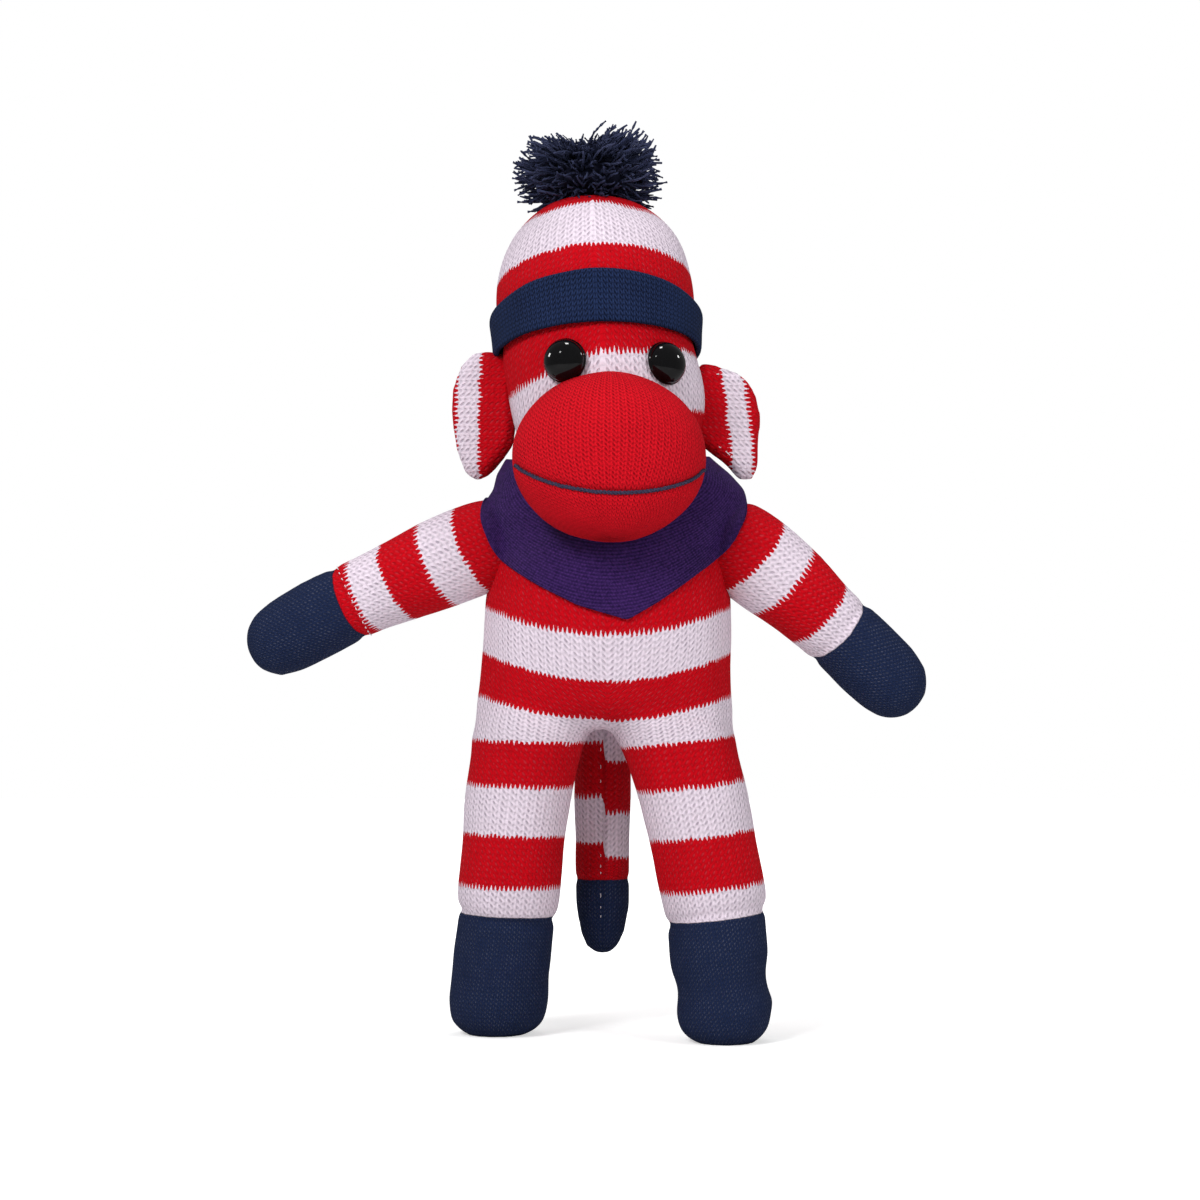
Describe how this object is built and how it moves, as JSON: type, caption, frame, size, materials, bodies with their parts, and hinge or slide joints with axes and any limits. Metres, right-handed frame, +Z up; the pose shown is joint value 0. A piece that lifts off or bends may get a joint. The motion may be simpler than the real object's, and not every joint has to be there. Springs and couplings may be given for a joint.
{
  "type": "sock monkey doll",
  "caption": "Stuffed sock monkey of striped knit, with a bobble hat, a bandana, and limbs, head, ears and tail that move.",
  "frame": {"origin": "centre of the doll's box, on the surface that its soles stand on", "axes": "+Z up through the doll, -Y the way it faces, +X to the viewer's right"},
  "size_m": [0.1874, 0.0809, 0.2532],
  "materials": {
    "torso_skin": "knit, striped red and white",
    "torso_filling": "soft polyester fibre",
    "bandana": "fine twill",
    "bandana_knot": "fine twill",
    "neck_skin": "knit, striped red and white",
    "neck_filling": "soft polyester fibre",
    "head_skin": "knit, striped red and white",
    "head_filling": "soft polyester fibre",
    "muzzle_skin": "knit, striped red and white",
    "muzzle_filling": "soft polyester fibre",
    "mouth_thread": "knit or yarn",
    "left_eye": "glossy",
    "right_eye": "glossy",
    "left_eye_washer": "matt",
    "right_eye_washer": "matt",
    "hat_crown": "knit, striped red and white",
    "hat_cuff": "knit or yarn",
    "pompom": "knit or yarn",
    "pompom_tie": "knit or yarn",
    "left_ear": "knit, striped red and white",
    "right_ear": "knit, striped red and white",
    "left_arm_skin": "knit, striped red and white",
    "left_hand_skin": "knit or yarn",
    "left_arm_filling": "soft polyester fibre",
    "right_arm_skin": "knit, striped red and white",
    "right_hand_skin": "knit or yarn",
    "right_arm_filling": "soft polyester fibre",
    "left_leg_skin": "knit, striped red and white",
    "left_foot_skin": "knit or yarn",
    "left_leg_filling": "soft polyester fibre",
    "right_leg_skin": "knit, striped red and white",
    "right_foot_skin": "knit or yarn",
    "right_leg_filling": "soft polyester fibre",
    "tail_skin": "knit, striped red and white",
    "tail_tip_skin": "knit or yarn",
    "tail_filling": "soft polyester fibre"
  },
  "bodies": {
    "trunk": {"torso_skin": "torso_skin", "torso_filling": "torso_filling", "bandana": "bandana", "bandana_knot": "bandana_knot"},
    "neck": {"neck_skin": "neck_skin", "neck_filling": "neck_filling"},
    "head": {"head_skin": "head_skin", "head_filling": "head_filling", "muzzle_skin": "muzzle_skin", "muzzle_filling": "muzzle_filling", "mouth_thread": "mouth_thread", "left_eye": "left_eye", "right_eye": "right_eye", "left_eye_washer": "left_eye_washer", "right_eye_washer": "right_eye_washer", "hat_crown": "hat_crown", "hat_cuff": "hat_cuff", "pompom": "pompom", "pompom_tie": "pompom_tie"},
    "left_ear": {"left_ear": "left_ear"},
    "right_ear": {"right_ear": "right_ear"},
    "left_arm": {"left_arm_skin": "left_arm_skin", "left_hand_skin": "left_hand_skin", "left_arm_filling": "left_arm_filling"},
    "right_arm": {"right_arm_skin": "right_arm_skin", "right_hand_skin": "right_hand_skin", "right_arm_filling": "right_arm_filling"},
    "left_leg": {"left_leg_skin": "left_leg_skin", "left_foot_skin": "left_foot_skin", "left_leg_filling": "left_leg_filling"},
    "right_leg": {"right_leg_skin": "right_leg_skin", "right_foot_skin": "right_foot_skin", "right_leg_filling": "right_leg_filling"},
    "tail": {"tail_skin": "tail_skin", "tail_tip_skin": "tail_tip_skin", "tail_filling": "tail_filling"}
  },
  "joints": [
    {"name": "neck_turn", "type": "hinge", "parent": "trunk", "child": "neck", "pos_m": [0.0059, 0.0077, 0.156], "axis": [0, 0, 1], "range_deg": [-20, 20], "deforming": ["bandana"]},
    {"name": "head_nod", "type": "hinge", "parent": "neck", "child": "head", "pos_m": [0.0059, 0.0077, 0.156], "axis": [1, 0, 0], "range_deg": [-15, 4], "deforming": ["bandana"]},
    {"name": "left_ear_fold", "type": "hinge", "parent": "head", "child": "left_ear", "pos_m": [-0.02587, 0.0087, 0.1722], "axis": [0, 0, 1], "range_deg": [-35, 35], "stiffness_Nm_per_rad": 0.0005},
    {"name": "right_ear_fold", "type": "hinge", "parent": "head", "child": "right_ear", "pos_m": [0.03525, 0.0087, 0.1708], "axis": [0, 0, -1], "range_deg": [-35, 35], "stiffness_Nm_per_rad": 0.0005},
    {"name": "left_arm_raise", "type": "hinge", "parent": "trunk", "child": "left_arm", "pos_m": [-0.028, 0.0057, 0.1368], "axis": [0, 1, 0], "range_deg": [-14, 60], "deforming": ["bandana"]},
    {"name": "right_arm_raise", "type": "hinge", "parent": "trunk", "child": "right_arm", "pos_m": [0.0419, 0.0057, 0.137], "axis": [0, -1, 0], "range_deg": [-8, 85], "deforming": ["bandana"]},
    {"name": "left_leg_swing", "type": "hinge", "parent": "trunk", "child": "left_leg", "pos_m": [-0.0165, 0.0057, 0.082], "axis": [-0.9936, 0, 0.1132], "range_deg": [-20, 95]},
    {"name": "right_leg_swing", "type": "hinge", "parent": "trunk", "child": "right_leg", "pos_m": [0.0264, 0.0057, 0.082], "axis": [-0.9866, 0, -0.1633], "range_deg": [-25, 80]},
    {"name": "tail_swing", "type": "hinge", "parent": "trunk", "child": "tail", "pos_m": [0.0044, 0.0274, 0.0905], "axis": [1, 0, 0], "range_deg": [0, 80]}
  ]
}
